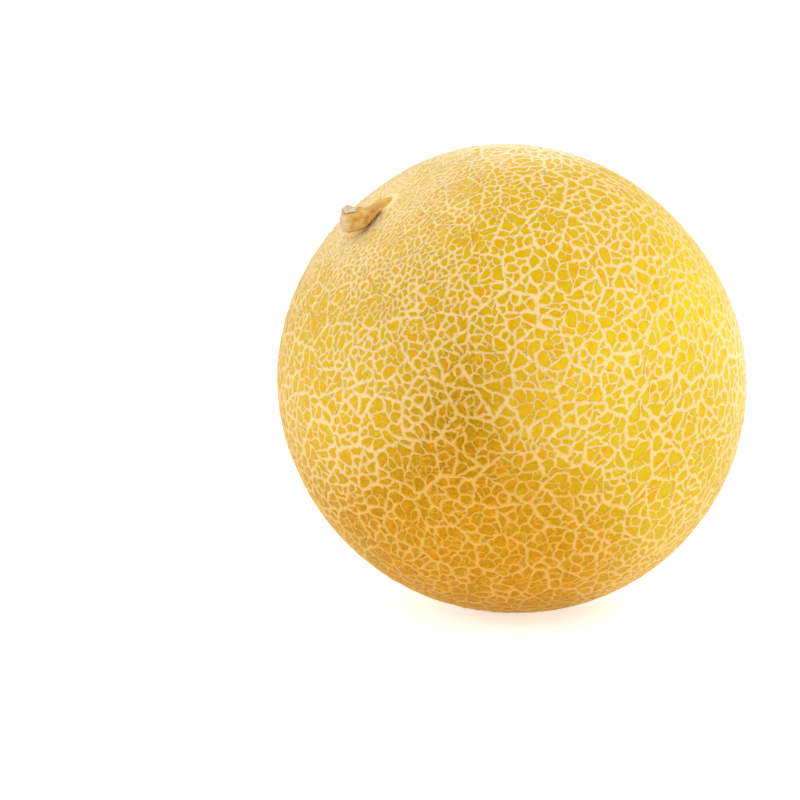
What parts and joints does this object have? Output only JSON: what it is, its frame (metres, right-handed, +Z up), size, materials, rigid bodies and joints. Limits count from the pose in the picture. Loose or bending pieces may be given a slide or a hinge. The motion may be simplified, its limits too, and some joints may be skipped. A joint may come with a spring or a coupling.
{
  "type": "kolkhoznitsa melon",
  "caption": "Whole round melon with a raised corky net all over its rind and the dry flared stub of its stem bent over one shoulder, resting on a small flat spot.",
  "frame": {"origin": "middle of the footprint, on the flat spot that the fruit rests on", "axes": "+Z up from the resting spot; the stem end leans 38 degrees from up towards -X, and the stub of the stem runs down that slope"},
  "size_m": [0.1504, 0.15, 0.1495],
  "materials": {
    "netted_rind": "satin golden rind under a dull cream cork net",
    "dry_stem": "dry, dull, tan"
  },
  "bodies": {
    "root": {"fruit": "netted_rind", "stem": "dry_stem"}
  },
  "joints": []
}
